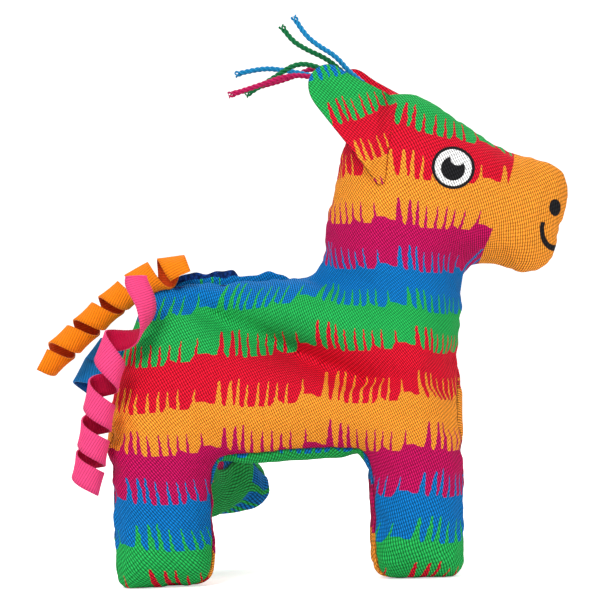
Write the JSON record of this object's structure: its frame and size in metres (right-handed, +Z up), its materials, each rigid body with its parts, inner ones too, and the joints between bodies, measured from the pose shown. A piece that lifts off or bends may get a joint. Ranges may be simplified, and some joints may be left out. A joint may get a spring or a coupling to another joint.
{
  "type": "stuffed toy pinata donkey",
  "caption": "Small stuffed canvas donkey printed like a fringed party pinata, with a treat pocket in its back, cord forelock and curled ribbon tail.",
  "frame": {"origin": "on the floor under the middle of the toy's outer box, crown cords left out", "axes": "+X towards the nose, +Y towards the toy's left side, +Z up"},
  "size_m": [0.1452, 0.0782, 0.1533],
  "materials": {
    "printed_canvas": "matte",
    "stuffing": "matte",
    "pocket_lining": "matte",
    "hook_tape": "matte",
    "loop_tape": "matte",
    "cord_blue": "satin",
    "cord_green": "satin",
    "cord_crimson": "satin",
    "ribbon_orange": "satin",
    "ribbon_pink": "satin",
    "ribbon_blue": "satin"
  },
  "bodies": {
    "torso": {"right_flank_panel": "printed_canvas", "left_flank_panel": "printed_canvas", "belly_gusset": "printed_canvas", "pocket_lining": "pocket_lining", "torso_stuffing": "stuffing"},
    "right_lip": {"right_lip_facing": "printed_canvas", "right_lip_hook_tape": "hook_tape"},
    "left_lip": {"left_lip_facing": "printed_canvas", "left_lip_loop_tape": "loop_tape"},
    "head": {"right_head_panel": "printed_canvas", "left_head_panel": "printed_canvas", "head_stuffing": "stuffing", "crown_cord_blue_upper": "cord_blue", "crown_cord_green_upper": "cord_green", "crown_cord_green_lower": "cord_green", "crown_cord_blue_lower": "cord_blue", "crown_cord_crimson_upper": "cord_crimson", "crown_cord_crimson_lower": "cord_crimson"},
    "right_ear": {"right_ear_back_panel": "printed_canvas", "right_ear_front_panel": "printed_canvas"},
    "left_ear": {"left_ear_back_panel": "printed_canvas", "left_ear_front_panel": "printed_canvas"},
    "right_hind_leg": {"right_hind_leg_outer_panel": "printed_canvas", "right_hind_leg_inner_panel": "printed_canvas", "right_hind_leg_stuffing": "stuffing"},
    "left_hind_leg": {"left_hind_leg_outer_panel": "printed_canvas", "left_hind_leg_inner_panel": "printed_canvas", "left_hind_leg_stuffing": "stuffing"},
    "right_front_leg": {"right_front_leg_outer_panel": "printed_canvas", "right_front_leg_inner_panel": "printed_canvas", "right_front_leg_stuffing": "stuffing"},
    "left_front_leg": {"left_front_leg_outer_panel": "printed_canvas", "left_front_leg_inner_panel": "printed_canvas", "left_front_leg_stuffing": "stuffing"},
    "orange_ribbon": {"tail_ribbon_orange": "ribbon_orange"},
    "pink_ribbon": {"tail_ribbon_pink": "ribbon_pink"},
    "blue_ribbon": {"tail_ribbon_blue": "ribbon_blue"}
  },
  "joints": [
    {"name": "neck_nod", "type": "hinge", "parent": "torso", "child": "head", "pos_m": [0.02491, -0.01262, 0.077], "axis": [0, 1, 0], "range_deg": [-15, 20], "stiffness_Nm_per_rad": 0.15},
    {"name": "right_ear_flop", "type": "hinge", "parent": "head", "child": "right_ear", "pos_m": [0.02418, -0.02806, 0.11725], "axis": [0.1495, 0.3819, 0.912], "range_deg": [-2, 45], "stiffness_Nm_per_rad": 0.02},
    {"name": "left_ear_flop", "type": "hinge", "parent": "head", "child": "left_ear", "pos_m": [0.02418, 0.00281, 0.11725], "axis": [-0.1495, 0.3819, -0.912], "range_deg": [-2, 45], "stiffness_Nm_per_rad": 0.02},
    {"name": "right_hind_hip", "type": "hinge", "parent": "torso", "child": "right_hind_leg", "pos_m": [-0.03829, -0.02512, 0.042], "axis": [-1, 0, 0], "range_deg": [-3, 45], "stiffness_Nm_per_rad": 0.25},
    {"name": "left_hind_hip", "type": "hinge", "parent": "torso", "child": "left_hind_leg", "pos_m": [-0.03429, -0.00012, 0.042], "axis": [1, 0, 0], "range_deg": [-60, 4], "stiffness_Nm_per_rad": 0.25},
    {"name": "right_front_hip", "type": "hinge", "parent": "torso", "child": "right_front_leg", "pos_m": [0.02951, -0.02512, 0.042], "axis": [-1, 0, 0], "range_deg": [-3, 45], "stiffness_Nm_per_rad": 0.25},
    {"name": "left_front_hip", "type": "hinge", "parent": "torso", "child": "left_front_leg", "pos_m": [0.02951, -0.00012, 0.042], "axis": [1, 0, 0], "range_deg": [-3, 45], "stiffness_Nm_per_rad": 0.25},
    {"name": "right_lip_bend", "type": "hinge", "parent": "torso", "child": "right_lip", "pos_m": [-0.01879, -0.01662, 0.071], "axis": [-1, 0, 0], "range_deg": [-20, 15], "stiffness_Nm_per_rad": 0.02},
    {"name": "left_lip_bend", "type": "hinge", "parent": "torso", "child": "left_lip", "pos_m": [-0.01879, -0.00862, 0.071], "axis": [1, 0, 0], "range_deg": [-20, 11], "stiffness_Nm_per_rad": 0.02},
    {"name": "orange_ribbon_swing", "type": "hinge", "parent": "torso", "child": "orange_ribbon", "pos_m": [-0.04379, -0.01022, 0.0834], "axis": [0, 1, 0], "range_deg": [-20, 40], "stiffness_Nm_per_rad": 0.006},
    {"name": "pink_ribbon_swing", "type": "hinge", "parent": "torso", "child": "pink_ribbon", "pos_m": [-0.04459, -0.02022, 0.0822], "axis": [0, 1, 0], "range_deg": [-1, 45], "stiffness_Nm_per_rad": 0.01},
    {"name": "blue_ribbon_swing", "type": "hinge", "parent": "torso", "child": "blue_ribbon", "pos_m": [-0.04979, -0.00162, 0.0736], "axis": [0, 1, 0], "range_deg": [-5, 40], "stiffness_Nm_per_rad": 0.004}
  ]
}
